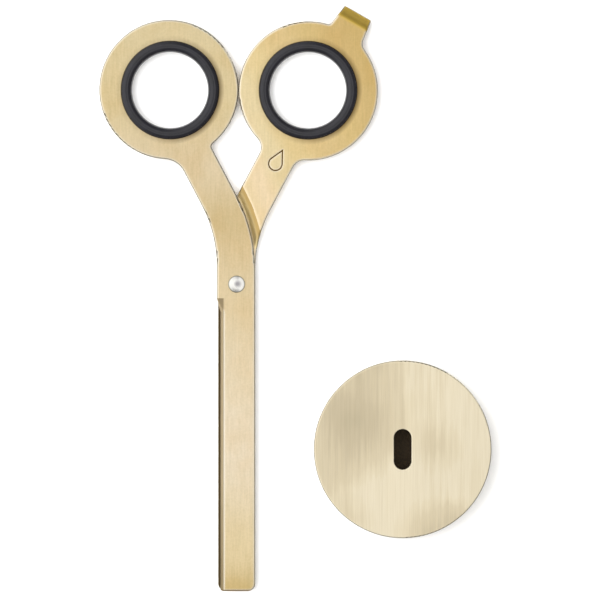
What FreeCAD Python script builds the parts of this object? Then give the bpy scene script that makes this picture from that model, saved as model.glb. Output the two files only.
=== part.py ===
"""Flat sheet-metal wick scissors lying closed beside their round slotted stand.

Millimetres, +Z up. The origin is on the pivot's axis, on the table. The blades point along -Y, the
handles along +Y. The front sheet carries the left handle, the rear sheet the right one.
"""
import FreeCAD, Part
import os

import Sketcher
from FreeCAD import Placement, Rotation, Vector

SIZES = {
    "sheet_thickness": 1.5,
    "blade_gap": 0.14,
    "running_gap": 0.02,
    "blade_width": 11.6,
    "blade_length": 95.6,
    "tip_radius": 2.3,
    "arm_bend_radius": 40.0,
    "edge_break": 0.5,
    "edge_inset": 0.75,
    "bevel_run": 1.15,
    "bevel_land": 0.2,
    "bevel_start": 4.3,
    "bevel_full": 8.6,
    "ring_radius": 21.67,
    "finger_hole_radius": 13.95,
    "front_ring_across": 21.1,
    "front_ring_along": 60.6,
    "front_hole_across": 20.75,
    "front_hole_along": 60.45,
    "front_side": 6.18,
    "front_bend_start": 5.8,
    "front_inner_start": 3.86,
    "front_arm_angle": 27.7,
    "front_arm_straight": 24.0,
    "front_inner_fillet": 1.2,
    "front_outer_fillet": 7.0,
    "rear_ring_across": 22.34,
    "rear_ring_along": 60.2,
    "rear_hole_across": 22.25,
    "rear_hole_along": 60.4,
    "rear_side": 5.8,
    "rear_bend_start": 4.3,
    "rear_inner_start": 3.6,
    "rear_arm_angle": 28.0,
    "rear_arm_straight": 26.0,
    "rear_inner_fillet": 4.0,
    "rear_outer_fillet": 4.0,
    "joggle_clearance": 0.2,
    "joggle_angle": 33.0,
    "joggle_bend_radius": 0.8,
    "tab_direction": 60.0,
    "tab_root": 17.0,
    "tab_reach": 30.0,
    "tab_left_root": 4.85,
    "tab_left_end": 3.35,
    "tab_right_root": 7.6,
    "tab_right_end": 5.9,
    "tab_bend_at": 24.6,
    "tab_bend_radius": 2.0,
    "tab_bend_angle": 40.0,
    "tab_flange": 2.8,
    "tab_left_fillet": 1.0,
    "tab_right_fillet": 3.0,
    "mark_radius": 2.1,
    "mark_height": 4.7,
    "mark_line": 0.4,
    "mark_depth": 0.12,
    "mark_across": 12.1,
    "mark_along": 37.5,
    "mark_turn": 28.0,
    "pivot_radius": 2.0,
    "pivot_clearance": 0.05,
    "head_radius": 2.65,
    "head_height": 0.85,
    "head_rim": 0.2,
    "tail_radius": 2.4,
    "tail_height": 0.6,
    "tail_flat_radius": 1.5,
    "pivot_washer_radius": 4.0,
    "pivot_washer_thickness": 0.1,
    "back_washer_radius": 3.4,
    "back_washer_thickness": 0.4,
    "rubber_section": 3.7,
    "rubber_inner_radius": 11.85,
    "rubber_clearance": 0.02,
    "stand_across": 51.65,
    "stand_along": 51.35,
    "stand_radius": 27.6,
    "stand_height": 10.0,
    "stand_foot": 0.8,
    "stand_edge": 0.4,
    "slot_length": 12.5,
    "slot_width": 5.4,
    "slot_edge": 0.15,
    "pad_radius": 25.0,
    "pad_recess": 0.6,
    "pad_edge": 0.3,
}

SMOOTH = 0.5
FREE = 1.0
TOUCHING = 1e-4
Z_AXIS = Vector(0, 0, 1)

doc = FreeCAD.newDocument("wick_scissors")
sheet = doc.addObject("Spreadsheet::Sheet", "sizes")


def fill_sheet():
    """One row per driving dimension: its name in column A, its value in column B."""
    for row, (alias, value) in enumerate(SIZES.items(), start=1):
        sheet.set(f"A{row}", alias)
        sheet.set(f"B{row}", str(value))
        sheet.setAlias(f"B{row}", alias)
    doc.recompute()


def size(expression):
    """The value of an expression in the sheet's own names."""
    return float(sheet.evalExpression(expression))


def bound(expression):
    """The same expression written for an object outside the sheet."""
    words = expression
    for alias in sorted(SIZES, key=len, reverse=True):
        words = words.replace(alias, "\0" + str(list(SIZES).index(alias)) + "\0")
    for number, alias in enumerate(SIZES):
        words = words.replace(f"\0{number}\0", f"sizes.{alias}")
    return words


def bind(item, path, expression):
    """Ties one property of an object to the sheet."""
    item.setExpression(path, bound(expression))


def new_body(label, level="0"):
    """An empty body, standing at a height that the sheet gives."""
    body = doc.addObject("PartDesign::Body", label)
    body.Label = label
    bind(body, "Placement.Base.z", level)
    return body


def new_sketch(body, name, frame=None):
    """A sketch on the body's XY plane, moved to frame when one is given."""
    sketch = body.newObject("Sketcher::SketchObject", name)
    plane = next(item for item in body.Origin.OriginFeatures if item.Role == "XY_Plane")
    sketch.AttachmentSupport = [(plane, "")]
    sketch.MapMode = "FlatFace"
    sketch.AttachmentOffset = frame or Placement()
    return sketch


def upright(point, direction):
    """A frame through point whose X runs along direction and whose Y runs up."""
    across = Vector(direction).normalize()
    return Placement(Vector(point), Rotation(across, Z_AXIS, across.cross(Z_AXIS), "XYZ"))


def drive(sketch, name, kind, references, expression):
    """A named driving constraint tied to the sheet."""
    value = size(expression)
    if kind == "Angle":
        value = FreeCAD.Units.Quantity(f"{value} deg").getValueAs("rad").Value
        expression = f"({expression}) * 1 deg"
    sketch.addConstraint(Sketcher.Constraint(kind, *references, value))
    sketch.renameConstraint(sketch.ConstraintCount - 1, name)
    bind(sketch, f"Constraints.{name}", expression)


def place(sketch, name, geometry, vertex, across, along):
    """Pins a vertex by its distance from the sketch's origin, both ways."""
    for axis, expression in (("X", across), ("Y", along)):
        value = size(expression)
        near = (-1, 1, geometry, vertex)
        if value < 0:
            near = (geometry, vertex, -1, 1)
            expression = f"-({expression})"
        drive(sketch, f"{name}_{axis.lower()}", "Distance" + axis, near, expression)


def degrees_between(first, second):
    return FreeCAD.Units.Quantity(f"{first.getAngle(second)} rad").getValueAs("deg").Value


def add_line(sketch, start, end):
    return sketch.addGeometry(Part.LineSegment(Vector(*start, 0), Vector(*end, 0)))


def add_arc(sketch, centre, radius, first, last):
    """An arc from angle first to angle last, counter-clockwise, in degrees."""
    circle = Part.Circle(Vector(*centre, 0), Z_AXIS, radius)
    angles = [FreeCAD.Units.Quantity(f"{a} deg").getValueAs("rad").Value for a in (first, last)]
    return sketch.addGeometry(Part.ArcOfCircle(circle, *angles))


def polygon(sketch, corners):
    """A closed outline whose corners are all pinned to the sheet's sizes."""
    points = [(size(across), size(along)) for across, along in corners]
    sides = [add_line(sketch, *pair) for pair in zip(points, points[1:] + points[:1])]
    for side, following in zip(sides, sides[1:] + sides[:1]):
        sketch.addConstraint(Sketcher.Constraint("Coincident", side, 2, following, 1))
    for number, (side, (across, along)) in enumerate(zip(sides, corners)):
        place(sketch, f"corner{number}", side, 1, across, along)
    return sketch


def circle(sketch, name, across, along, radius):
    """A full circle, pinned and sized by the sheet."""
    centre = Vector(size(across), size(along), 0)
    number = sketch.addGeometry(Part.Circle(centre, Z_AXIS, size(radius)))
    drive(sketch, f"{name}_radius", "Radius", (number,), radius)
    if centre.Length:
        place(sketch, f"{name}_centre", number, 3, across, along)
    else:
        sketch.addConstraint(Sketcher.Constraint("Coincident", number, 3, -1, 1))
    return sketch


def feature(body, kind, name, profile=None):
    """A PartDesign feature that becomes the body's tip."""
    item = body.newObject(f"PartDesign::{kind}", name)
    if profile:
        item.Profile = profile
        profile.Visibility = False
    body.Tip = item
    return item


def pad(body, name, profile, length):
    item = feature(body, "Pad", name, profile)
    bind(item, "Length", length)
    doc.recompute()
    return item


def cut(body, kind, name, profile, setup):
    """A removing feature; it raises an error if it takes nothing away."""
    before = body.Shape.Volume
    item = feature(body, kind, name, profile)
    setup(item)
    doc.recompute()
    if before - body.Shape.Volume < TOUCHING:
        raise RuntimeError(f"{name} cuts nothing from {body.Label}")
    return item


def cut_through(body, name, profile):
    def setup(item):
        item.Type = "ThroughAll"
        item.Midplane = True
    return cut(body, "Pocket", name, profile, setup)


def cut_up(body, name, profile, length="sheet_thickness * 4"):
    """Removes the profile's column above the sketch."""
    def setup(item):
        bind(item, "Length", length)
        item.Reversed = True
    return cut(body, "Pocket", name, profile, setup)


def cut_turn(body, name, profile, angle="90"):
    """Turns the profile counter-clockwise about its own upright axis and removes what it sweeps."""
    def setup(item):
        item.ReferenceAxis = (profile, ["V_Axis"])
        bind(item, "Angle", angle)
    return cut(body, "Groove", name, profile, setup)


def edges_where(body, test):
    """Names of the body's edges whose middle and direction pass the test."""
    names = []
    for number, edge in enumerate(body.Shape.Edges, start=1):
        middle = edge.valueAt((edge.FirstParameter + edge.LastParameter) / 2)
        if test(edge, body.Placement.inverse().multVec(middle)):
            names.append(f"Edge{number}")
    return names


def round_edges(body, name, radius, test):
    """Rounds the edges that pass the test."""
    names = edges_where(body, test)
    if not names:
        raise RuntimeError(f"{name} finds no edge on {body.Label}")
    base = body.Tip
    item = feature(body, "Fillet", name)
    item.Base = (base, names)
    bind(item, "Radius", radius)
    doc.recompute()
    return item


def edge_turns(body, edge):
    """True where the two faces beside an edge meet at a sharp corner."""
    middle = edge.valueAt((edge.FirstParameter + edge.LastParameter) / 2)
    normals = []
    for face in body.Shape.ancestorsOfType(edge, Part.Face):
        normals.append(face.normalAt(*face.Surface.parameter(middle)))
    return len(normals) == 2 and abs(normals[0].dot(normals[1])) < SMOOTH


def is_upright(edge):
    ends = [vertex.Point for vertex in edge.Vertexes]
    return len(ends) == 2 and (ends[1] - ends[0]).cross(Z_AXIS).Length < TOUCHING


def upright_near(point, reach):
    """A test for upright edges within reach of a point in plan."""
    def test(edge, middle):
        flat = Vector(middle.x - point.x, middle.y - point.y, 0)
        return is_upright(edge) and flat.Length < reach
    return test


def arm_bends(name, side):
    """Centre and radius of the arm's outer and inner bend, and the way the arm runs after them.

    side is -1 when the arm leans to -X and +1 when it leans to +X. Both bends turn about points on
    that side; the inner one starts lower, so the arm is a little narrower than the bar.
    """
    radius = size("arm_bend_radius")
    wide = radius + size("blade_width")
    outer = Vector(side * (size(f"{name}_side") + radius), size(f"{name}_bend_start"), 0)
    inner = Vector(side * (wide - size("blade_width") / 2), size(f"{name}_inner_start"), 0)
    lean = Rotation(Z_AXIS, -side * size(f"{name}_arm_angle"))
    outward = lean.multVec(Vector(-side, 0, 0))
    ahead = lean.multVec(Vector(0, 1, 0))
    return (outer, radius), (inner, wide), outward, ahead


def draw_arm(sketch, name, side):
    """The straight blade bar, its bend and the arm that runs up into the handle ring."""
    (centre, radius), (inner_centre, wide), outward, ahead = arm_bends(name, side)
    half = size("blade_width") / 2
    edge = size(f"{name}_side")
    angle = size(f"{name}_arm_angle")
    low = -size("blade_length")
    outer_end = centre + outward * radius
    inner_end = inner_centre + outward * wide
    outer_far = outer_end + ahead * size(f"{name}_arm_straight")
    inner_far = inner_end + ahead * (outer_far - inner_end).dot(ahead)
    first, last = (0, angle) if side < 0 else (180 - angle, 180)
    near, far = (1, 2) if side < 0 else (2, 1)

    tip = add_line(sketch, (side * edge, low), (-side * half, low))
    inner_bar = add_line(sketch, (-side * half, low), (-side * half, inner_centre.y))
    inner_arc = add_arc(sketch, (inner_centre.x, inner_centre.y), wide, first, last)
    inner_arm = add_line(sketch, (inner_end.x, inner_end.y), (inner_far.x, inner_far.y))
    cap = add_line(sketch, (inner_far.x, inner_far.y), (outer_far.x, outer_far.y))
    outer_arm = add_line(sketch, (outer_far.x, outer_far.y), (outer_end.x, outer_end.y))
    outer_arc = add_arc(sketch, (centre.x, centre.y), radius, first, last)
    outer_bar = add_line(sketch, (side * edge, centre.y), (side * edge, low))

    for constraint in (
        ("Coincident", tip, 2, inner_bar, 1),
        ("Tangent", inner_bar, 2, inner_arc, near),
        ("Tangent", inner_arc, far, inner_arm, 1),
        ("Coincident", inner_arm, 2, cap, 1),
        ("Coincident", cap, 2, outer_arm, 1),
        ("Tangent", outer_arm, 2, outer_arc, far),
        ("Tangent", outer_arc, near, outer_bar, 1),
        ("Coincident", outer_bar, 2, tip, 1),
        ("Vertical", inner_bar),
        ("Vertical", outer_bar),
        ("Perpendicular", cap, outer_arm),
        ("Parallel", inner_arm, outer_arm),
    ):
        sketch.addConstraint(Sketcher.Constraint(*constraint))
    place(sketch, "outer_tip", tip, 1, f"{side} * {name}_side", "-blade_length")
    place(sketch, "inner_tip", tip, 2, f"{-side} * blade_width / 2", "-blade_length")
    drive(sketch, "bend_radius", "Radius", (outer_arc,), "arm_bend_radius")
    drive(sketch, "bend_start", "DistanceY", (-1, 1, outer_arc, 3), f"{name}_bend_start")
    drive(sketch, "inner_radius", "Radius", (inner_arc,), "arm_bend_radius + blade_width")
    drive(sketch, "inner_start", "DistanceY", (-1, 1, inner_arc, 3), f"{name}_inner_start")
    drive(sketch, "arm_straight", "Distance", (outer_arm,), f"{name}_arm_straight")
    drive(sketch, "arm_angle", "Angle", (outer_arc,), f"{name}_arm_angle")


def arm_meets_ring(name, side):
    """The two plan points where the arm's straight edges run into the ring's edge."""
    *bends, outward, ahead = arm_bends(name, side)
    ring = Vector(side * size(f"{name}_ring_across"), size(f"{name}_ring_along"), 0)
    points = []
    for centre, radius in bends:
        start = centre + outward * radius
        offset = (ring - start).cross(ahead).Length
        along = (ring - start).dot(ahead)
        points.append(start + ahead * (along - (size("ring_radius") ** 2 - offset ** 2) ** 0.5))
    return points


def blade_sheet(name, side, height):
    """The flat plan shape both sheets share, with its rounded corners and holes."""
    body = new_body(f"{name}_blade")
    outline = new_sketch(body, f"{name}_arm_outline")
    draw_arm(outline, name, side)
    pad(body, f"{name}_arm", outline, height)
    ring = circle(new_sketch(body, f"{name}_ring_outline"), "ring",
                  f"{side} * {name}_ring_across", f"{name}_ring_along", "ring_radius")
    pad(body, f"{name}_ring", ring, height)
    outer, inner = arm_meets_ring(name, side)
    round_edges(body, f"{name}_outer_corner", f"{name}_outer_fillet", upright_near(outer, FREE))
    round_edges(body, f"{name}_inner_corner", f"{name}_inner_fillet", upright_near(inner, FREE))
    low = -size("blade_length")
    half = size("blade_width") / 2

    def at_tip(edge, middle):
        return is_upright(edge) and abs(middle.y - low) < FREE and abs(abs(middle.x) - half) < FREE

    round_edges(body, f"{name}_tip_corners", "tip_radius", at_tip)
    return body


def cut_holes(body, name, side, pivot_radius):
    """The pivot's hole and the finger hole that the rubber ring grips."""
    finger = circle(new_sketch(body, f"{name}_finger_hole"), "hole",
                    f"{side} * {name}_hole_across", f"{name}_hole_along", "finger_hole_radius")
    cut_through(body, f"{name}_finger_opening", finger)
    pivot = circle(new_sketch(body, f"{name}_pivot_hole"), "hole", "0", "0", pivot_radius)
    cut_through(body, f"{name}_pivot_opening", pivot)


def cut_bevel(body, name, side, top_side):
    """Grinds the cutting edge: an inset edge, a bevel above it and a run-out near the pivot.

    The front blade's bevel faces up, so its edge lies on the lower face; the rear blade's is the
    other way up.
    """
    far = "sheet_thickness * 2" if top_side else "-sheet_thickness"
    back = "-sheet_thickness" if top_side else "sheet_thickness * 2"
    face = "sheet_thickness" if top_side else "0"
    land = "bevel_land" if top_side else "sheet_thickness - bevel_land"
    nick = "running_gap"
    start = f"sheet_thickness - {nick}" if top_side else nick

    def section(label, distance, corners):
        frame = upright((0, -size(distance), 0), (1, 0, 0))
        profile = new_sketch(body, f"{name}_{label}", frame)
        bind(profile, "AttachmentOffset.Base.y", f"-{distance}")
        return polygon(profile, [(f"{side} * ({across})", up) for across, up in corners])

    ground = [("blade_width / 2 - edge_inset", back), ("blade_width / 2 - edge_inset", land),
              ("blade_width / 2 - edge_inset - bevel_run", face),
              ("blade_width / 2 - edge_inset - bevel_run", far),
              ("blade_width", far), ("blade_width", back)]
    fading = [(f"{name}_side", back), (f"{name}_side", start),
              (f"{name}_side - {nick}", face), (f"{name}_side - {nick}", far),
              ("blade_width", far), ("blade_width", back)]
    full = section("bevel_section", "bevel_full", ground)

    def run_to_tip(item):
        bind(item, "Length", "blade_length")
        item.Reversed = True

    cut(body, "Pocket", f"{name}_bevel", full, run_to_tip)
    deep = section("runout_deep", "bevel_full", ground)
    shallow = section("runout_shallow", "bevel_start", fading)

    def fade(item):
        item.Sections = [shallow]
        item.Ruled = True

    cut(body, "SubtractiveLoft", f"{name}_bevel_runout", deep, fade)


def break_edges(body, name):
    """Takes the sharpness off the whole outline, on both faces, while it has no holes yet."""
    def test(edge, middle):
        return not is_upright(edge) and edge_turns(body, edge)

    round_edges(body, f"{name}_edge_break", "edge_break", test)


def make_front_blade():
    """The upper sheet: left handle, arm and the blade whose bevel shows."""
    body = blade_sheet("front", -1, "sheet_thickness")
    break_edges(body, "front")
    cut_holes(body, "front", -1, "pivot_radius + running_gap")
    cut_bevel(body, "front", -1, True)
    bind(body, "Placement.Base.z", FRONT_LEVEL)
    return body


def joggle_marks():
    """Expressions for the joggle's section: reaches from its axis and heights of its bends."""
    start = "arm_bend_radius + blade_width + joggle_clearance"
    bend = "(2 * joggle_bend_radius + sheet_thickness)"
    turn = "(joggle_angle * 1 deg)"
    slope_rise = f"(sheet_thickness + blade_gap - {bend} * (1 - cos{turn}))"
    run = f"({bend} * sin{turn} + {slope_rise} / tan{turn})"
    return start, run


def draw_joggle(sketch, upper_face):
    """The line of one face of the joggled sheet, closed above it or below it.

    Heights are from the rear sheet's lower face. The line runs level, bends up, climbs, bends
    back and runs level again one sheet and one gap higher.
    """
    start, run = joggle_marks()
    begin = size(start)
    finish = begin + size(run)
    thickness = size("sheet_thickness")
    rise = thickness + size("blade_gap")
    small = size("joggle_bend_radius")
    turn = size("joggle_angle")
    low = thickness if upper_face else 0.0
    high = low + rise
    first_radius = small if upper_face else small + thickness
    last_radius = small + thickness if upper_face else small
    first_centre = (begin, low + first_radius)
    last_centre = (finish, high - last_radius)
    climb = Rotation(Z_AXIS, turn)
    foot = Vector(*first_centre, 0) + climb.multVec(Vector(0, -first_radius, 0))
    head = Vector(*last_centre, 0) + climb.multVec(Vector(0, last_radius, 0))
    inner = FREE
    outer = size("2 * rear_ring_along")
    beyond = rise + 2 * thickness + FREE if upper_face else -FREE

    first = add_arc(sketch, first_centre, first_radius, 270, 270 + turn)
    slope = add_line(sketch, (foot.x, foot.y), (head.x, head.y))
    last = add_arc(sketch, last_centre, last_radius, 90, 90 + turn)
    if upper_face:
        level = add_line(sketch, (inner, low), (begin, low))
        closing = [add_line(sketch, (finish, high), (finish, beyond)),
                   add_line(sketch, (finish, beyond), (inner, beyond)),
                   add_line(sketch, (inner, beyond), (inner, low))]
        chain = [(level, 2, first, 1), (closing[2], 2, level, 1), (last, 1, closing[0], 1)]
    else:
        level = add_line(sketch, (finish, high), (outer, high))
        closing = [add_line(sketch, (outer, high), (outer, beyond)),
                   add_line(sketch, (outer, beyond), (begin, beyond)),
                   add_line(sketch, (begin, beyond), (begin, low))]
        chain = [(last, 1, level, 1), (level, 2, closing[0], 1), (closing[2], 2, first, 1)]
    chain += [(closing[0], 2, closing[1], 1), (closing[1], 2, closing[2], 1)]
    for link in chain:
        sketch.addConstraint(Sketcher.Constraint("Coincident", *link))
    sketch.addConstraint(Sketcher.Constraint("Tangent", first, 2, slope, 1))
    sketch.addConstraint(Sketcher.Constraint("Tangent", slope, 2, last, 2))
    small_bend = "joggle_bend_radius"
    large_bend = "joggle_bend_radius + sheet_thickness"
    drive(sketch, "first_bend", "Radius", (first,), small_bend if upper_face else large_bend)
    drive(sketch, "last_bend", "Radius", (last,), large_bend if upper_face else small_bend)
    drive(sketch, "joggle_begins", "DistanceX", (-1, 1, first, 3), start)
    return sketch


FRONT_LEVEL = ("tail_height + back_washer_thickness + running_gap"
               " + sheet_thickness + blade_gap")
REAR_LEVEL = "tail_height + back_washer_thickness + running_gap"


def make_rear_blade():
    """The lower sheet: its arm steps up beside the front arm, so both handles lie level."""
    height = "2 * sheet_thickness + blade_gap"
    body = blade_sheet("rear", 1, height)
    axis = Vector(-size("arm_bend_radius + blade_width / 2"), size("front_inner_start"), 0)
    for label, upper_face in (("upper", True), ("lower", False)):
        frame = upright(axis, (1, 0, 0))
        profile = new_sketch(body, f"rear_joggle_{label}", frame)
        bind(profile, "AttachmentOffset.Base.x", "-(arm_bend_radius + blade_width / 2)")
        bind(profile, "AttachmentOffset.Base.y", "front_inner_start")
        draw_joggle(profile, upper_face)
        cut_turn(body, f"rear_joggle_{label}_cut", profile)
    above = Placement(Vector(0, 0, size("sheet_thickness")), Rotation())
    thin = new_sketch(body, "rear_blade_upper", above)
    bind(thin, "AttachmentOffset.Base.z", "sheet_thickness")
    polygon(thin, [("-blade_width", "-blade_length * 2"), ("blade_width", "-blade_length * 2"),
                   ("blade_width", "front_inner_start"), ("-blade_width", "front_inner_start")])
    cut_up(body, "rear_blade_thinning", thin)
    add_tab(body)
    break_edges(body, "rear")
    cut_holes(body, "rear", 1, "pivot_radius + pivot_clearance")
    cut_bevel(body, "rear", 1, False)
    engrave_mark(body)
    bind(body, "Placement.Base.z", REAR_LEVEL)
    return body


RISE = "(sheet_thickness + blade_gap)"
OUTER_BEND = "(tab_bend_radius + sheet_thickness)"


def tab_slope_foot(face_radius):
    """Where the bent tab's slope begins, and its tilt, for a face with that bend radius."""
    centre = Vector(size("tab_bend_at"), size(RISE) - size("tab_bend_radius"), 0)
    fall = Rotation(Z_AXIS, -size("tab_bend_angle"))
    return centre, centre + fall.multVec(Vector(0, size(face_radius), 0)), fall


def draw_tab_face(sketch, upper_face):
    """The line of one face of the tab, seen from the side and closed above or below it.

    X runs outwards from the ring's centre. The face is level, bends down and slopes on.
    """
    radius = OUTER_BEND if upper_face else "tab_bend_radius"
    turn = size("tab_bend_angle")
    centre, foot, fall = tab_slope_foot(radius)
    start = (centre.x, centre.y + size(radius))
    end = foot + fall.multVec(Vector(size("tab_flange * 2"), 0, 0))
    arc = add_arc(sketch, (centre.x, centre.y), size(radius), 90 - turn, 90)
    slope = add_line(sketch, (foot.x, foot.y), (end.x, end.y))
    if upper_face:
        lid = start[1] + FREE
        points = [(end.x, end.y), (end.x, lid), (start[0], lid), start]
    else:
        floor = end.y - FREE
        inner = size("tab_root") - FREE
        points = [(end.x, end.y), (end.x, floor), (inner, floor), (inner, start[1]), start]
    sides = [add_line(sketch, *pair) for pair in zip(points, points[1:])]
    sketch.addConstraint(Sketcher.Constraint("Tangent", arc, 1, slope, 1))
    sketch.addConstraint(Sketcher.Constraint("Coincident", slope, 2, sides[0], 1))
    for side, following in zip(sides, sides[1:]):
        sketch.addConstraint(Sketcher.Constraint("Coincident", side, 2, following, 1))
    sketch.addConstraint(Sketcher.Constraint("Coincident", sides[-1], 2, arc, 2))
    drive(sketch, "bend", "Radius", (arc,), radius)
    drive(sketch, "bend_at", "DistanceX", (-1, 1, arc, 3), "tab_bend_at")
    drive(sketch, "bend_turn", "Angle", (arc,), "tab_bend_angle")
    drive(sketch, "slope", "Distance", (slope,), "tab_flange * 2")
    return sketch


def leaves_circle(inside, outside, radius):
    """The point where a line that starts inside a circle round the origin leaves it."""
    heading = (outside - inside).normalize()
    reach = inside.dot(heading)
    gap = inside.Length ** 2 - radius ** 2
    return inside + heading * ((reach ** 2 - gap) ** 0.5 - reach)


def add_tab(body):
    """The finger tab on the right ring: it runs outwards and bends down towards the table."""
    centre = Vector(size("rear_ring_across"), size("rear_ring_along"), 0)
    turn = Rotation(Z_AXIS, size("tab_direction"))
    outwards = turn.multVec(Vector(1, 0, 0))
    sideways = turn.multVec(Vector(0, 1, 0))
    below = Vector(0, 0, size("-2 * sheet_thickness"))
    plan = new_sketch(body, "rear_tab_outline", Placement(centre + below, turn))
    bind(plan, "AttachmentOffset.Base.z", "-2 * sheet_thickness")
    polygon(plan, [("tab_root", "-tab_right_root"), ("tab_reach", "-tab_right_end"),
                   ("tab_reach", "tab_left_end"), ("tab_root", "tab_left_root")])
    pad(body, "rear_tab", plan, f"2 * sheet_thickness + {RISE} + sheet_thickness")

    def both_ways(item):
        bind(item, "Length", "4 * tab_right_root")
        item.Midplane = True

    profiles = []
    for label, upper_face in (("lower", False), ("upper", True)):
        profile = new_sketch(body, f"rear_tab_{label}", upright(centre, outwards))
        draw_tab_face(profile, upper_face)
        cut(body, "Pocket", f"rear_tab_{label}_cut", profile, both_ways)
        profiles.append(profile)

    foot = tab_slope_foot(OUTER_BEND)[1]
    tilt = size("tab_bend_angle")
    down = (turn * Rotation(Vector(0, 1, 0), tilt)).multVec(Vector(1, 0, 0))
    frame = Placement(centre + outwards * foot.x + Z_AXIS * foot.y,
                      Rotation(down, sideways, down.cross(sideways), "XYZ"))
    end = new_sketch(body, "rear_tab_end", frame)
    polygon(end, [("tab_flange", "-2 * tab_right_root"), ("tab_flange * 3", "-2 * tab_right_root"),
                  ("tab_flange * 3", "2 * tab_right_root"), ("tab_flange", "2 * tab_right_root")])
    cut(body, "Pocket", "rear_tab_end_cut", end, both_ways)
    for profile in (plan, *profiles):
        bind(profile, "AttachmentOffset.Base.x", "rear_ring_across")
        bind(profile, "AttachmentOffset.Base.y", "rear_ring_along")

    for label, side in (("left", 1), ("right", -1)):
        root = Vector(size("tab_root"), side * size(f"tab_{label}_root"), 0)
        end = Vector(size("tab_reach"), side * size(f"tab_{label}_end"), 0)
        neck = centre + turn.multVec(leaves_circle(root, end, size("ring_radius")))
        round_edges(body, f"rear_tab_{label}_neck", f"tab_{label}_fillet", upright_near(neck, FREE / 2))


def teardrop(sketch, name, radius):
    """A round drop with a point: one arc and the two tangents that meet above it."""
    reach = f"({radius}) * mark_height / mark_radius"
    small = size(radius)
    top = size(reach)
    touch_y = small ** 2 / top
    touch_x = (small ** 2 - touch_y ** 2) ** 0.5
    lean = 90 - degrees_between(Vector(0, 1, 0), Vector(touch_x, touch_y, 0))
    arc = add_arc(sketch, (0, 0), small, 180 - lean, 360 + lean)
    right = add_line(sketch, (touch_x, touch_y), (0, top))
    left = add_line(sketch, (0, top), (-touch_x, touch_y))
    sketch.addConstraint(Sketcher.Constraint("Tangent", arc, 2, right, 1))
    sketch.addConstraint(Sketcher.Constraint("Coincident", right, 2, left, 1))
    sketch.addConstraint(Sketcher.Constraint("Tangent", left, 2, arc, 1))
    sketch.addConstraint(Sketcher.Constraint("Coincident", arc, 3, -1, 1))
    sketch.addConstraint(Sketcher.Constraint("PointOnObject", right, 2, -2))
    drive(sketch, f"{name}_radius", "Radius", (arc,), radius)
    drive(sketch, f"{name}_point", "DistanceY", (-1, 1, right, 2), reach)


def engrave_mark(body):
    """A plain drop outline, engraved beside the joggle on the right arm."""
    top = f"{RISE} + sheet_thickness"
    place_at = Vector(size("mark_across"), size("mark_along"), size(top))
    profile = new_sketch(body, "rear_mark", Placement(place_at, Rotation(Z_AXIS, -size("mark_turn"))))
    bind(profile, "AttachmentOffset.Base.x", "mark_across")
    bind(profile, "AttachmentOffset.Base.y", "mark_along")
    bind(profile, "AttachmentOffset.Base.z", top)
    teardrop(profile, "outer", "mark_radius + mark_line / 2")
    teardrop(profile, "inner", "mark_radius - mark_line / 2")
    cut(body, "Pocket", "rear_mark_cut", profile, lambda item: bind(item, "Length", "mark_depth"))


def turned(body, name, profile):
    """A full turn of the profile about the body's upright axis."""
    item = feature(body, "Revolution", name, profile)
    item.ReferenceAxis = (profile, ["V_Axis"])
    item.Angle = 360
    doc.recompute()
    return item


def stand_body_at(body, across, along, up):
    """Ties the body's place to the sheet."""
    for axis, expression in (("x", across), ("y", along), ("z", up)):
        bind(body, f"Placement.Base.{axis}", expression)
    doc.recompute()
    return body


def make_pivot_rivet():
    """Domed head above, shank through both sheets, peened tail with a flat below."""
    body = new_body("pivot_rivet")
    seat = f"{FRONT_LEVEL} + sheet_thickness + running_gap"
    profile = new_sketch(body, "rivet_section", upright((0, 0, 0), (1, 0, 0)))
    corners = [("0", "0"), ("tail_flat_radius", "0"), ("tail_radius", "tail_height / 2"),
               ("tail_radius", "tail_height"), ("pivot_radius", "tail_height"), ("pivot_radius", seat),
               ("head_radius", seat), ("head_radius", f"{seat} + head_rim"),
               ("0", f"{seat} + head_height")]
    points = [(size(across), size(up)) for across, up in corners]
    sides = [add_line(profile, *pair) for pair in zip(points[:-2], points[1:-1])]
    rim = points[-2]
    crown = points[-1]
    crown_rise = crown[1] - rim[1]
    ball = (rim[0] ** 2 + crown_rise ** 2) / (2 * crown_rise)
    centre = Vector(0, crown[1] - ball, 0)
    lean = degrees_between(Vector(1, 0, 0), Vector(*rim, 0) - centre)
    dome = add_arc(profile, (0, centre.y), ball, lean, 90)
    axis = add_line(profile, crown, points[0])
    for side, following in zip(sides, sides[1:]):
        profile.addConstraint(Sketcher.Constraint("Coincident", side, 2, following, 1))
    profile.addConstraint(Sketcher.Constraint("Coincident", sides[-1], 2, dome, 1))
    profile.addConstraint(Sketcher.Constraint("Coincident", dome, 2, axis, 1))
    profile.addConstraint(Sketcher.Constraint("Coincident", axis, 2, sides[0], 1))
    profile.addConstraint(Sketcher.Constraint("Coincident", sides[0], 1, -1, 1))
    profile.addConstraint(Sketcher.Constraint("PointOnObject", dome, 3, -2))
    for number, (side, (across, up)) in enumerate(zip(sides[1:], corners[1:])):
        place(profile, f"corner{number}", side, 1, across, up)
    place(profile, "rim", dome, 1, *corners[-2])
    profile.addConstraint(Sketcher.Constraint("Vertical", axis))
    drive(profile, "crown", "DistanceY", (-1, 1, dome, 2), corners[-1][1])
    turned(body, "rivet", profile)
    return body


def make_washer(label, outer, inner, thickness, level):
    """A flat washer round the pivot."""
    body = new_body(label)
    profile = new_sketch(body, f"{label}_outline")
    circle(profile, "outer", "0", "0", outer)
    circle(profile, "inner", "0", "0", inner)
    pad(body, f"{label}_disc", profile, thickness)
    return stand_body_at(body, "0", "0", level)


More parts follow.
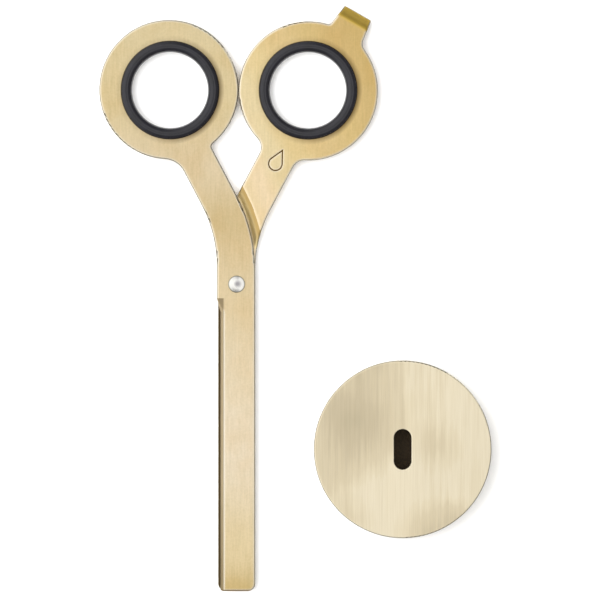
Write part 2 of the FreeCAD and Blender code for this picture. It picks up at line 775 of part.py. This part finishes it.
def make_finger_ring(label, across, along):
    """A rubber ring with a groove round its outside that grips the sheet's edge."""
    body = new_body(label)
    profile = new_sketch(body, f"{label}_section", upright((0, 0, 0), (1, 0, 0)))
    circle(profile, "section", "rubber_inner_radius + rubber_section / 2", "0", "rubber_section / 2")
    turned(body, f"{label}_body", profile)
    slit = new_sketch(body, f"{label}_slit", upright((0, 0, 0), (1, 0, 0)))
    deep = "finger_hole_radius - rubber_clearance"
    half = "sheet_thickness / 2 + rubber_clearance"
    past = "rubber_inner_radius + 2 * rubber_section"
    polygon(slit, [(deep, f"-({half})"), (past, f"-({half})"), (past, half), (deep, half)])
    cut_turn(body, f"{label}_groove", slit, "360")
    return stand_body_at(body, across, along, f"{FRONT_LEVEL} + sheet_thickness / 2")


def slot_outline(sketch, length, width):
    """A slot with fully round ends, long along Y."""
    radius = size(width) / 2
    reach = size(length) / 2 - radius
    top = add_arc(sketch, (0, reach), radius, 0, 180)
    left = add_line(sketch, (-radius, reach), (-radius, -reach))
    bottom = add_arc(sketch, (0, -reach), radius, 180, 360)
    right = add_line(sketch, (radius, -reach), (radius, reach))
    for first, second in ((top, left), (left, bottom), (bottom, right), (right, top)):
        sketch.addConstraint(Sketcher.Constraint("Tangent", first, 2, second, 1))
    sketch.addConstraint(Sketcher.Constraint("Vertical", left))
    sketch.addConstraint(Sketcher.Constraint("Symmetric", top, 3, bottom, 3, -1, 1))
    drive(sketch, "end_radius", "Radius", (top,), f"({width}) / 2")
    drive(sketch, "end_reach", "DistanceY", (-1, 1, top, 3), f"({length} - {width}) / 2")
    return sketch


def make_stand_disc():
    """The heavy round stand: a through slot for the closed blades, a recess below for the pad."""
    body = new_body("stand_disc")
    height = "stand_height - stand_foot"
    rim = circle(new_sketch(body, "stand_outline"), "rim", "0", "0", "stand_radius")
    pad(body, "stand_round", rim, height)
    round_edges(body, "stand_rim_break", "stand_edge", lambda edge, middle: not is_upright(edge))
    slot = slot_outline(new_sketch(body, "slot_outline"), "slot_length", "slot_width")
    cut_through(body, "stand_slot", slot)
    top = size(height)

    def slot_mouth(edge, middle):
        near = Vector(middle.x, middle.y, 0).Length < size("slot_length")
        return near and abs(middle.z - top) < TOUCHING

    round_edges(body, "stand_slot_break", "slot_edge", slot_mouth)
    recess = circle(new_sketch(body, "recess_outline"), "recess", "0", "0", "pad_radius + running_gap")
    cut_up(body, "stand_recess", recess, "pad_recess")
    return stand_body_at(body, "stand_across", "-stand_along", "stand_foot")


def make_stand_pad():
    """The soft disc let into the stand's underside, which also closes the slot."""
    body = new_body("stand_pad")
    outline = circle(new_sketch(body, "pad_outline"), "pad", "0", "0", "pad_radius")
    pad(body, "pad_disc", outline, "stand_foot + pad_recess - running_gap")
    round_edges(body, "pad_edge_break", "pad_edge", lambda edge, middle: abs(middle.z) < TOUCHING)
    return stand_body_at(body, "stand_across", "-stand_along", "0")


def check_all():
    """Stops the script if any object failed or any sub-part has no valid shape."""
    for item in doc.Objects:
        bad = [state for state in item.State if state in ("Invalid", "Error")]
        if bad:
            raise RuntimeError(f"{item.Label} is {bad}")


def write_parts(parts):
    """One STEP file for each sub-part, named after it."""
    os.makedirs("parts", exist_ok=True)
    for part in parts:
        shape = part.Shape
        if shape.isNull() or not shape.isValid():
            raise RuntimeError(f"{part.Label} has no valid shape")
        shape.exportStep(f"parts/{part.Label}.step")
        print(part.Label, round(shape.Volume, 2), shape.BoundBox)


fill_sheet()
parts = [
    make_front_blade(),
    make_rear_blade(),
    make_pivot_rivet(),
    make_washer("pivot_washer", "pivot_washer_radius", "pivot_radius + pivot_clearance",
                "pivot_washer_thickness", f"{REAR_LEVEL} + sheet_thickness + running_gap"),
    make_washer("back_washer", "back_washer_radius", "pivot_radius + running_gap",
                "back_washer_thickness - running_gap", "tail_height"),
    make_finger_ring("finger_ring_left", "-front_hole_across", "front_hole_along"),
    make_finger_ring("finger_ring_right", "rear_hole_across", "rear_hole_along"),
    make_stand_disc(),
    make_stand_pad(),
]
doc.recompute()
check_all()
write_parts(parts)
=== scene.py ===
"""Looks for the flat sheet-metal wick scissors and their slotted stand, seen straight from above.

Everything is in metres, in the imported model's frame: pivot axis at the origin, handles along +Y,
table at Z = 0. Named colours are screen colours: red, green and blue from 0 to 255.
"""

import bpy
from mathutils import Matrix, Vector


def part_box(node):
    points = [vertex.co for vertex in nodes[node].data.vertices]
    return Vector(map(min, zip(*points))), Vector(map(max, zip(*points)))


MM = 0.001
AWAY_FROM_LIGHT = (0.95, -0.3, 0.0)  # plan direction from the room's bright side to its dark side
PLAN = (1.0, 1.0, 0.0)  # multiplied with a vector, it leaves the vector's plan part
NUMBER_RESULTS = ("LENGTH", "DISTANCE", "DOT_PRODUCT")
USUAL_NOISE = (0.3, 0.7)  # noise seldom leaves this range
# painted shade: the dark line on the rims of broken edges
RIM_PAINTED_SHADE = (126, 119, 101)

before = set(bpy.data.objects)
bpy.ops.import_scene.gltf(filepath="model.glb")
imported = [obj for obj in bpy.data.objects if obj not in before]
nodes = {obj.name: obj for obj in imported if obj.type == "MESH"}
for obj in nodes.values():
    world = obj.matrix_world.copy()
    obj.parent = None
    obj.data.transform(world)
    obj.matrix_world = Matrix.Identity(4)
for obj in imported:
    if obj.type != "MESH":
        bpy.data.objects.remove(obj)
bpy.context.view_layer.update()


# ---------------------------------------------------------------- small helpers


def linear(red, green, blue):
    """A screen colour, 0 to 255, as the linear colour that shader sockets take."""
    values = []
    for channel in (red, green, blue):
        share = channel / 255
        values.append(share / 12.92 if share <= 0.04045 else ((share + 0.055) / 1.055) ** 2.4)
    return (*values, 1.0)


def add(tree, kind, inputs=None, **settings):
    """Adds a shader node; each input is a plain value or the socket that feeds it."""
    node = tree.nodes.new(kind)
    for key, value in settings.items():
        setattr(node, key, value)
    for key, value in (inputs or {}).items():
        if isinstance(value, bpy.types.NodeSocket):
            tree.links.new(value, node.inputs[key])
        else:
            node.inputs[key].default_value = value
    return node


def maths(tree, operation, first, second=0.0):
    return add(tree, "ShaderNodeMath", {0: first, 1: second}, operation=operation).outputs[0]


def vector_maths(tree, operation, first, second=None):
    """A vector, or a number for the operations that give one."""
    inputs = {0: first} if second is None else {0: first, 1: second}
    node = add(tree, "ShaderNodeVectorMath", inputs, operation=operation)
    return node.outputs["Value" if operation in NUMBER_RESULTS else "Vector"]


def coordinate(tree, vector, axis):
    return add(tree, "ShaderNodeSeparateXYZ", {"Vector": vector}).outputs[axis]


def inverse(tree, share):
    return maths(tree, "SUBTRACT", 1.0, share)


def spread(tree, value, low, high, to_low=0.0, to_high=1.0):
    """Maps low..high to to_low..to_high and holds the ends."""
    inputs = {"Value": value, "From Min": low, "From Max": high, "To Min": to_low, "To Max": to_high}
    return add(tree, "ShaderNodeMapRange", inputs).outputs["Result"]


def ramp(tree, value, stops):
    """A colour ramp whose stops are (place, (red, green, blue)) with screen colours."""
    node = add(tree, "ShaderNodeValToRGB", {"Fac": value})
    node.color_ramp.interpolation = "EASE"
    elements = node.color_ramp.elements
    while len(elements) < len(stops):
        elements.new(0.5)
    for element, (place, colour) in zip(elements, stops):
        element.position = place
        element.color = linear(*colour)
    return node.outputs["Color"]


def blend_colours(tree, how, share, first, second):
    """Blends two colours; each is a socket or a linear colour."""
    node = add(tree, "ShaderNodeMix", data_type="RGBA", blend_type=how)
    for name, value in (("Factor", share), ("A", first), ("B", second)):
        socket = next(s for s in node.inputs if s.name == name and s.enabled)
        if isinstance(value, bpy.types.NodeSocket):
            tree.links.new(value, socket)
        else:
            socket.default_value = value
    return next(s for s in node.outputs if s.enabled)


def cover(tree, share, under, over):
    """The colour under, covered to this share by the named colour over."""
    return blend_colours(tree, "MIX", share, under, linear(*over))


def noise(tree, place, scale, detail=2.0, roughness=0.5):
    inputs = {"Vector": place, "Scale": scale, "Detail": detail, "Roughness": roughness}
    return add(tree, "ShaderNodeTexNoise", inputs).outputs["Fac"]


def swing(tree, value, reach):
    """Noise turned into a value that swings round zero, by reach to each side."""
    return spread(tree, value, *USUAL_NOISE, -reach, reach)


def two_tones(tree, value, first, second):
    """Noise turned into a colour between two screen colours."""
    return ramp(tree, value, list(zip(USUAL_NOISE, (first, second))))


def stretched(tree, place, along, turn=0.0):
    """The position squeezed along Y by `along`, so that noise turns into lines of grain."""
    mapping = {"Vector": place, "Scale": (1.0, along, along), "Rotation": (0.0, 0.0, turn)}
    return add(tree, "ShaderNodeMapping", mapping).outputs["Vector"]


def surface(name):
    """A new node material with its principled shader: returns material, tree, shader, position."""
    material = bpy.data.materials.new(name)
    material.use_nodes = True
    tree = material.node_tree
    tree.nodes.clear()
    shader = add(tree, "ShaderNodeBsdfPrincipled")
    output = add(tree, "ShaderNodeOutputMaterial")
    tree.links.new(shader.outputs["BSDF"], output.inputs["Surface"])
    place = add(tree, "ShaderNodeTexCoord").outputs["Object"]
    return material, tree, shader, place


def bump(tree, height, distance, strength=1.0, base=None):
    """Fine relief, on top of the base normal when one is given."""
    inputs = {"Height": height, "Distance": distance, "Strength": strength}
    if base is not None:
        inputs["Normal"] = base
    return add(tree, "ShaderNodeBump", inputs).outputs["Normal"]


def levelness(tree):
    """1 on the flats, 0 on the cut walls."""
    normal = add(tree, "ShaderNodeNewGeometry").outputs["True Normal"]
    return maths(tree, "ABSOLUTE", coordinate(tree, normal, "Z"))


def rolled(tree, width):
    """The normal of edges rolled over this width, and a mask that is 1 along those edges."""
    soft = add(tree, "ShaderNodeBevel", {"Radius": width}, samples=8).outputs["Normal"]
    flat = add(tree, "ShaderNodeNewGeometry").outputs["True Normal"]
    beside = spread(tree, vector_maths(tree, "DISTANCE", soft, flat), 0.03, 0.3)
    broken = spread(tree, levelness(tree), 0.99, 0.9)
    return soft, maths(tree, "MAXIMUM", beside, broken)


def paint_edge_light(tree, colour, band, pale, steep, rims=1.0):
    """The colour with a painted highlight along its edges and a dark line of painted shade on their rims.

    steep is the levelness at which a broken edge counts as its rim; cut walls keep the colour.
    rims is the share of the painted shade line that is wanted.
    """
    lined = cover(tree, band, colour, pale)
    level = levelness(tree)
    rim = maths(tree, "MULTIPLY", spread(tree, level, steep, steep - 0.04), spread(tree, level, 0.1, 0.2))
    return cover(tree, maths(tree, "MULTIPLY", rim, rims), lined, RIM_PAINTED_SHADE)


def box_mask(tree, place, low, high):
    """1 inside a box given in millimetres, 0 outside it; None leaves a side open."""
    parts = add(tree, "ShaderNodeSeparateXYZ", {"Vector": place})
    share = 1.0
    for axis, least, most in zip("XYZ", low, high):
        for operation, limit in (("GREATER_THAN", least), ("LESS_THAN", most)):
            if limit is not None:
                test = maths(tree, operation, parts.outputs[axis], limit * MM)
                share = maths(tree, "MULTIPLY", test, share)
    return share


def dress(node, material):
    """Gives a CAD node one material over its whole mesh."""
    mesh = nodes[node].data
    mesh.materials.clear()
    mesh.materials.append(material)
    for face in mesh.polygons:
        face.material_index = 0


# ---------------------------------------------------------------- brass-coloured sheet

TARNISH = (248, 240, 224)
# painted shadow that each rubber ring casts on the sheet beside it
RING_PAINTED_SHADOW = (92, 70, 38)
RING_SHADOW_REACH = (15.5 * MM, 17.0 * MM)  # radii from a ring's axis: full up to the first, gone at the second
# painted highlight along the sheets' rolled edges
EDGE_PAINTED_HIGHLIGHT = (243, 236, 220)
EDGE_ROLL = 0.8 * MM
RIM_LEVEL = 0.84  # a broken edge less level than this counts as a rim
BENT_RIM_LEVEL = 0.757  # lower, so that the joggle's slope and the tab's flange don't count as rims

GROUND_AT_HEEL = (158, 141, 110)
GROUND_AT_TIP = (134, 118, 86)
# painted shade along the tip's end
TIP_END_PAINTED_SHADE = (104, 82, 46)
# painted shade in the step between the blades, along the rear blade's spine
SPINE_PAINTED_SHADE = (72, 58, 36)
BEND_FOOT = (252, 230, 172)  # paler, because the foot of the slope mirrors the front arm's dark edge
# painted shade on the joggle's slope
SLOPE_PAINTED_SHADE = (192, 163, 105)
# painted shade on the tab's flange
FLANGE_PAINTED_SHADE = (206, 174, 80)
MARK = (104, 78, 36)

# Boxes round the sheets' local features: lowest and highest corner in millimetres.
BEVEL_BOX = ((None, None, None), (-3.4, -4.4, None))
TIP_END_BOX = ((None, None, 2.7), (None, -95.2, None))
SPINE_BOX = ((None, None, 2.0), (-4.9, -4.0, 2.6))
JOGGLE_BOX = ((None, 4.0, 2.56), (None, 32.0, 4.06))
MARK_BOX = ((9.4, 34.9, 3.6), (15.2, 42.4, 4.12))

# Where a local tone starts and where it is full.
BEVEL_ACROSS = (-3.75 * MM, -4.3 * MM)
BARER_ALONG = (-62 * MM, -92 * MM)
SLOPE_HEIGHTS = (2.7 * MM, 3.7 * MM)
TAB_DIRECTION = (0.5, 0.866, 0.0)
TAB_ALONG = (87.8 * MM, 88.8 * MM)

# Each tone: its share of the way and its colour; the tones are painted light and shade that stand in
# for the broad reflection across the flat sheet. The way goes from tip to ring on the front sheet,
# and from the arm to the far side of the ring on the rear one.
FRONT_PAINTED_TONES = [
    (0.0, (210, 186, 132)), (0.07, (228, 208, 164)), (0.25, (238, 223, 196)), (0.38, (234, 217, 184)),
    (0.5, (227, 207, 167)), (0.58, (224, 203, 161)), (0.64, (215, 193, 147)), (0.74, (225, 206, 169)),
    (0.85, (222, 203, 158)), (1.0, (222, 204, 161))]
FRONT_SPAN = (-96 * MM, 84 * MM)
REAR_PAINTED_TONES = [
    (0.0, (240, 217, 173)), (0.08, (243, 220, 180)), (0.22, (234, 215, 169)), (0.36, (232, 210, 157)),
    (0.54, (226, 201, 147)), (0.72, (218, 191, 131)), (0.88, (214, 186, 127)), (1.0, (210, 181, 119))]
REAR_SPAN = (15 * MM, 65 * MM)


def coated_sheet(name, ring, direction, span, stops, shade, steep):
    """Satin brass coating: broad painted light and shade along the piece, cloudy tarnish, fine lengthwise
    grain, a painted shadow beside its rubber ring, and painted highlights and painted rim shade along its
    edges.

    direction is the plan direction along which the broad painted tone changes; span is its two ends.
    ring is the rubber ring it holds, shade adds its local tones, painted shade among them, and steep says
    which edges are rims.
    """
    material, tree, shader, place = surface(name)
    along = vector_maths(tree, "DOT_PRODUCT", place, direction)
    tone = ramp(tree, spread(tree, along, *span), stops)

    clouds = noise(tree, place, 70.0, 3.0, 0.55)
    cloudy = spread(tree, clouds, 0.45, 0.7, 0.0, 0.6)
    warm = blend_colours(tree, "MULTIPLY", cloudy, tone, linear(*TARNISH))
    grain = noise(tree, stretched(tree, place, 0.06), 2600.0, 2.0, 0.6)
    speckle = noise(tree, place, 1500.0, 2.0, 0.6)
    texture = maths(tree, "ADD", swing(tree, grain, 0.045), swing(tree, speckle, 0.035))
    even = maths(tree, "ADD", texture, 1.0)
    stronger = maths(tree, "ADD", maths(tree, "MULTIPLY", texture, 1.5), 1.0)
    channels = {"Red": even, "Green": even, "Blue": stronger}
    pattern = add(tree, "ShaderNodeCombineColor", channels).outputs["Color"]
    lit = blend_colours(tree, "MULTIPLY", 1.0, warm, pattern)

    soft, band = rolled(tree, EDGE_ROLL)
    shaded, lines, rims = shade(tree, place, with_ring_shadow(tree, place, ring, lit))
    pale = maths(tree, "MULTIPLY", maths(tree, "MULTIPLY", band, 0.9), lines)
    with_painted_light = paint_edge_light(tree, shaded, pale, EDGE_PAINTED_HIGHLIGHT, steep, rims)
    tree.links.new(with_painted_light, shader.inputs["Base Color"])
    shader.inputs["Metallic"].default_value = 1.0
    tree.links.new(spread(tree, grain, 0.2, 0.8, 0.3, 0.42), shader.inputs["Roughness"])
    tree.links.new(bump(tree, grain, 0.004 * MM, 0.6, soft), shader.inputs["Normal"])
    return material


def with_ring_shadow(tree, place, ring, colour):
    """The colour with a painted shadow beside the rubber ring, most of it on the side away from the light.
    """
    low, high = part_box(ring)
    middle = [(low[axis] + high[axis]) / 2 for axis in range(2)]
    outwards = vector_maths(tree, "SUBTRACT", place, (*middle, 0.0))
    plan = vector_maths(tree, "MULTIPLY", outwards, PLAN)
    near = spread(tree, vector_maths(tree, "LENGTH", plan), *RING_SHADOW_REACH, 1.0, 0.0)
    aside = vector_maths(tree, "DOT_PRODUCT", plan, AWAY_FROM_LIGHT)
    share = maths(tree, "MULTIPLY", near, spread(tree, aside, -4 * MM, 14 * MM, 0.16, 0.75))
    return cover(tree, share, colour, RING_PAINTED_SHADOW)


def bevel_shade(tree, place, colour):
    """The ground bevel on the front blade's left edge is darker, the more so towards the tip, and the
    tip's end gets painted shade. The other results say where edges may show painted highlights and painted
    shade on rims."""
    beside = box_mask(tree, place, *BEVEL_BOX)
    share = maths(tree, "MULTIPLY", beside, spread(tree, coordinate(tree, place, "X"), *BEVEL_ACROSS))
    towards_tip = spread(tree, coordinate(tree, place, "Y"), *BARER_ALONG)
    bare = cover(tree, towards_tip, linear(*GROUND_AT_HEEL), GROUND_AT_TIP)
    ground = blend_colours(tree, "MIX", share, colour, bare)
    end = box_mask(tree, place, *TIP_END_BOX)
    ended = cover(tree, maths(tree, "MULTIPLY", end, 0.85), ground, TIP_END_PAINTED_SHADE)
    plain = inverse(tree, maths(tree, "MAXIMUM", share, end))
    return ended, plain, plain


def fold_shade(tree, place, colour):
    """A dark line of painted shade in the step beside the bevel marks the rear blade's spine, and the
    engraving is dark. Painted shade browns the sheet where it was bent: on the joggle's slope, whose foot
    gets painted light, and on the tab's flange. The other results say where edges may show painted
    highlights and painted shade on rims."""
    spine = box_mask(tree, place, *SPINE_BOX)
    lined = cover(tree, spine, colour, SPINE_PAINTED_SHADE)
    joggle = box_mask(tree, place, *JOGGLE_BOX)
    climb = spread(tree, coordinate(tree, place, "Z"), *SLOPE_HEIGHTS)
    slope = cover(tree, climb, linear(*BEND_FOOT), SLOPE_PAINTED_SHADE)
    sloped = blend_colours(tree, "MIX", joggle, lined, slope)
    flange = spread(tree, vector_maths(tree, "DOT_PRODUCT", place, TAB_DIRECTION), *TAB_ALONG)
    bent = cover(tree, flange, sloped, FLANGE_PAINTED_SHADE)
    mark = box_mask(tree, place, *MARK_BOX)
    marked = cover(tree, mark, bent, MARK)
    taken = spine
    for mask in (joggle, flange, mark):
        taken = maths(tree, "MAXIMUM", taken, mask)
    return marked, inverse(tree, taken), 1.0


front = coated_sheet(
    "coated_sheet_front", "finger_ring_left", (0.0, 1.0, 0.0), FRONT_SPAN, FRONT_PAINTED_TONES, bevel_shade,
    RIM_LEVEL)
rear = coated_sheet(
    "coated_sheet_rear", "finger_ring_right", (0.92, 0.39, 0.0), REAR_SPAN, REAR_PAINTED_TONES, fold_shade,
    BENT_RIM_LEVEL)


# ---------------------------------------------------------------- stand disc

DISC_TONES = [
    (0.0, (206, 193, 163)), (0.35, (213, 199, 169)), (0.7, (228, 214, 183)), (0.9, (237, 224, 194)),
    (1.0, (241, 229, 201))]
BRUSH_LINES = (249, 248, 245)
# painted highlight along the disc's rolled edges
DISC_EDGE_PAINTED_HIGHLIGHT = (240, 232, 210)
DISC_ROLL = 0.6 * MM

# Each patch: its middle from the disc's middle, its reach (all in millimetres) and the share of
# the clean coating's tone that is left at its middle.
DULL_PATCHES = (
    (-15.0, 9.0, 21.0, 0.0), (-8.0, 27.0, 12.0, 0.3), (9.0, -28.0, 14.0, 0.45), (10.0, 1.0, 10.0, 0.65),
    (-16.0, -22.0, 9.0, 0.65), (17.0, -22.0, 8.0, 0.6), (-21.0, -8.0, 12.0, 0.7))


def clear_of_patches(tree, place):
    """1 on the disc's clean coating, falling to each dull patch's own share at its middle."""
    low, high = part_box("stand_disc")
    middle = Vector(((low[0] + high[0]) / 2, (low[1] + high[1]) / 2, high[2]))
    clear = 1.0
    for across, along, reach, left in DULL_PATCHES:
        patch = middle + Vector((across, along, 0.0)) * MM
        away = vector_maths(tree, "DISTANCE", place, patch)
        clear = maths(tree, "MULTIPLY", clear, spread(tree, away, 0.0, reach * MM, left, 1.0))
    return clear


def brushed_disc():
    """Champagne coating, brushed in straight lines along Y, with soft dull patches; painted highlight on
    its edges, painted shade on their rims.
    """
    material, tree, shader, place = surface("coated_disc_top")
    streaks = noise(tree, stretched(tree, place, 0.03), 900.0, 4.0, 0.65)
    fine = noise(tree, stretched(tree, place, 0.02), 3200.0, 2.0, 0.6)
    clouds = noise(tree, stretched(tree, place, 0.5), 60.0, 2.0, 0.5)
    uneven = maths(tree, "ADD", swing(tree, clouds, 0.13), swing(tree, streaks, 0.13))
    tone = ramp(tree, maths(tree, "ADD", clear_of_patches(tree, place), uneven), DISC_TONES)
    brushed = spread(tree, fine, 0.35, 0.65)
    lit = blend_colours(tree, "MULTIPLY", brushed, tone, linear(*BRUSH_LINES))
    soft, band = rolled(tree, DISC_ROLL)
    with_painted_light = paint_edge_light(tree, lit, maths(tree, "MULTIPLY", band, 0.4), DISC_EDGE_PAINTED_HIGHLIGHT, RIM_LEVEL)
    tree.links.new(with_painted_light, shader.inputs["Base Color"])
    shader.inputs["Metallic"].default_value = 1.0
    shader.inputs["Anisotropic"].default_value = 0.5
    tree.links.new(spread(tree, streaks, 0.2, 0.8, 0.26, 0.4), shader.inputs["Roughness"])
    relief = maths(tree, "ADD", streaks, fine)
    tree.links.new(bump(tree, relief, 0.004 * MM, 0.7, soft), shader.inputs["Normal"])
    return material


# ---------------------------------------------------------------- small pieces

# painted reflection: the grey spot on the dome's top
TOP_PAINTED_REFLECTION = (158, 154, 158)
REFLECTION_SPOT_AT = (0.35 * MM, 0.1 * MM, 0.0)
# painted shade in the groove round the rivet's rim
GROOVE_PAINTED_SHADE = (120, 112, 84)
PRESSED_LEAN = 0.56  # share of its own lean that the pressed side of the rivet's dome keeps


def rubber():
    """Dark slate rubber with a faint sheen and a trace of dust."""
    material, tree, shader, place = surface("dark_rubber_ring")
    dust = noise(tree, place, 420.0, 4.0, 0.6)
    colour = two_tones(tree, dust, (12, 11, 17), (19, 18, 26))
    tree.links.new(colour, shader.inputs["Base Color"])
    tree.links.new(spread(tree, dust, *USUAL_NOISE, 0.16, 0.24), shader.inputs["Roughness"])
    shader.inputs["Specular IOR Level"].default_value = 0.55
    skin = noise(tree, place, 2200.0, 3.0, 0.6)
    tree.links.new(bump(tree, skin, 0.01 * MM, 0.5), shader.inputs["Normal"])
    return material


def foam():
    """Matt, nearly black foam for the stand's underside."""
    material, tree, shader, place = surface("dark_foam_pad")
    cells = noise(tree, place, 1400.0, 3.0, 0.7)
    tree.links.new(two_tones(tree, cells, (37, 29, 19), (50, 41, 29)), shader.inputs["Base Color"])
    shader.inputs["Roughness"].default_value = 0.95
    tree.links.new(bump(tree, cells, 0.05 * MM, 0.7), shader.inputs["Normal"])
    return material


def scratched_steel(name, dark, light, roughness, scale):
    """Uncoated steel with fine scratches: returns material, tree, shader, position and colour."""
    material, tree, shader, place = surface(name)
    marks = noise(tree, stretched(tree, place, 0.2, 0.6), scale, 3.0, 0.6)
    colour = two_tones(tree, marks, dark, light)
    tree.links.new(colour, shader.inputs["Base Color"])
    shader.inputs["Metallic"].default_value = 1.0
    gloss = spread(tree, marks, *USUAL_NOISE, roughness * 0.8, roughness * 1.3)
    tree.links.new(gloss, shader.inputs["Roughness"])
    tree.links.new(bump(tree, marks, 0.002 * MM, 0.5), shader.inputs["Normal"])
    return material, tree, shader, place, colour


def rivet_steel():
    """Polished rivet: a grey painted reflection of the dark spot overhead on the dome's top, painted shade
    in the groove at its rim, and its right side mirrors the light above as if it were pressed flatter."""
    material, tree, shader, place, polished = scratched_steel(
        "polished_rivet_steel", (226, 224, 218), (240, 239, 234), 0.3, 700.0)
    plan = vector_maths(tree, "MULTIPLY", place, PLAN)
    from_reflection_spot = vector_maths(tree, "DISTANCE", plan, REFLECTION_SPOT_AT)
    with_painted_light = cover(tree, spread(tree, from_reflection_spot, 0.4 * MM, 1.4 * MM, 0.85, 0.0), polished, TOP_PAINTED_REFLECTION)
    from_axis = vector_maths(tree, "LENGTH", plan)
    rimmed = cover(tree, spread(tree, from_axis, 2.2 * MM, 2.55 * MM, 0.0, 0.85), with_painted_light, GROOVE_PAINTED_SHADE)
    tree.links.new(rimmed, shader.inputs["Base Color"])

    normal = add(tree, "ShaderNodeNewGeometry").outputs["Normal"]
    lean = spread(tree, coordinate(tree, place, "X"), 0.4 * MM, 1.1 * MM, 1.0, PRESSED_LEAN)
    leans = add(tree, "ShaderNodeCombineXYZ", {"X": lean, "Y": lean, "Z": 1.0}).outputs["Vector"]
    flatter = vector_maths(tree, "NORMALIZE", vector_maths(tree, "MULTIPLY", normal, leans))
    scratches = shader.inputs["Normal"].links[0].from_node
    tree.links.new(flatter, scratches.inputs["Normal"])
    return material


def washer_steel():
    """Plain, duller steel for the washer under the rivet's tail."""
    return scratched_steel("plain_washer_steel", (176, 174, 168), (196, 194, 188), 0.35, 900.0)[0]


def slip_plastic():
    """Milky thin plastic for the washer between the sheets."""
    material, tree, shader, place = surface("slip_washer_plastic")
    haze = noise(tree, place, 900.0, 2.0, 0.5)
    tree.links.new(two_tones(tree, haze, (205, 202, 192), (226, 223, 214)), shader.inputs["Base Color"])
    shader.inputs["Roughness"].default_value = 0.45
    return material


ring_rubber = rubber()
dress("front_blade", front)
dress("rear_blade", rear)
dress("finger_ring_left", ring_rubber)
dress("finger_ring_right", ring_rubber)
dress("pivot_rivet", rivet_steel())
dress("pivot_washer", slip_plastic())
dress("back_washer", washer_steel())
dress("stand_disc", brushed_disc())
dress("stand_pad", foam())


# ---------------------------------------------------------------- floor, light and camera

TABLE_HALF = 3.0
SIDE_LIGHT = (1.45, 0.42)  # the room's level on its bright and its dark side
HORIZON_SHARE = 0.35  # what is left of that level at the horizon
SOFT_BOXES = 1.5
OVERHEAD = 0.77
BACKDROP = (0.93, 0.93, 0.93, 1.0)  # a linear colour: what the camera sees of the room

CAMERA_HEIGHT = 2.4
VIEW_WIDTH = 187.2 * MM
VIEW_MIDDLE = (19.74 * MM, -4.94 * MM)
LAMPS_AIM = (0.02, 0.0, 0.0)


def make_floor():
    """A wide pale table top."""
    half = TABLE_HALF
    corners = [(-half, -half, 0), (half, -half, 0), (half, half, 0), (-half, half, 0)]
    mesh = bpy.data.meshes.new("table_top")
    mesh.from_pydata(corners, [], [(0, 1, 2, 3)])
    floor = bpy.data.objects.new("table_top", mesh)
    bpy.context.scene.collection.objects.link(floor)
    material, tree, shader, place = surface("pale_table")
    patches = noise(tree, place, 6.0, 2.0, 0.5)
    tree.links.new(two_tones(tree, patches, (250, 250, 250), (252, 252, 252)), shader.inputs["Base Color"])
    shader.inputs["Roughness"].default_value = 0.9
    shader.inputs["Specular IOR Level"].default_value = 0.1
    mesh.materials.append(material)


def make_surroundings():
    """What the metal and rubber mirror: a duller spot overhead, a bright ring of soft boxes round
    it, and lower down a room that is bright to the upper left and dark to the lower right."""
    world = bpy.data.worlds.new("pale_room")
    bpy.context.scene.world = world
    world.use_nodes = True
    tree = world.node_tree
    tree.nodes.clear()
    ray = add(tree, "ShaderNodeTexCoord").outputs["Generated"]
    height = coordinate(tree, ray, "Z")
    aside = vector_maths(tree, "DOT_PRODUCT", ray, AWAY_FROM_LIGHT)
    side = maths(tree, "MULTIPLY", spread(tree, aside, -0.75, -0.05, *SIDE_LIGHT),
                 spread(tree, height, 0.0, 0.4, HORIZON_SHARE, 1.0))
    above = spread(tree, height, 0.95, 0.985, SOFT_BOXES, OVERHEAD)
    lift = spread(tree, height, 0.78, 0.93)
    level = maths(tree, "ADD", maths(tree, "MULTIPLY", side, inverse(tree, lift)),
                  maths(tree, "MULTIPLY", lift, above))
    channels = {"Red": level, "Green": level, "Blue": level}
    grey = add(tree, "ShaderNodeCombineColor", channels).outputs["Color"]
    seen = add(tree, "ShaderNodeLightPath").outputs["Is Camera Ray"]
    colour = blend_colours(tree, "MIX", seen, grey, BACKDROP)
    shader = add(tree, "ShaderNodeBackground", {"Color": colour, "Strength": 1.0})
    output = add(tree, "ShaderNodeOutputWorld")
    tree.links.new(shader.outputs["Background"], output.inputs["Surface"])


def make_lamp(name, place, size, watts):
    """A square soft box over the object; it lights, and metal doesn't mirror it."""
    data = bpy.data.lights.new(name, "AREA")
    data.energy = watts
    data.size = size
    lamp = bpy.data.objects.new(name, data)
    lamp.location = place
    lamp.visible_glossy = False
    aim = Vector(LAMPS_AIM) - Vector(place)
    lamp.rotation_euler = aim.to_track_quat("-Z", "Y").to_euler()
    bpy.context.scene.collection.objects.link(lamp)


def make_camera():
    """Straight above the middle of the two objects, through a long lens."""
    data = bpy.data.cameras.new("camera_above")
    data.sensor_width = 36.0
    data.lens = data.sensor_width * CAMERA_HEIGHT / VIEW_WIDTH
    data.clip_end = 20.0
    camera = bpy.data.objects.new("camera_above", data)
    camera.location = (*VIEW_MIDDLE, CAMERA_HEIGHT)
    bpy.context.scene.collection.objects.link(camera)
    bpy.context.scene.camera = camera


make_floor()
make_surroundings()
make_lamp("soft_box_left", (-0.72, 0.22, 1.1), 1.4, 14.0)
make_lamp("soft_box_above", (0.02, 0.0, 1.3), 2.0, 13.0)
make_camera()
bpy.context.scene.view_settings.view_transform = "Standard"
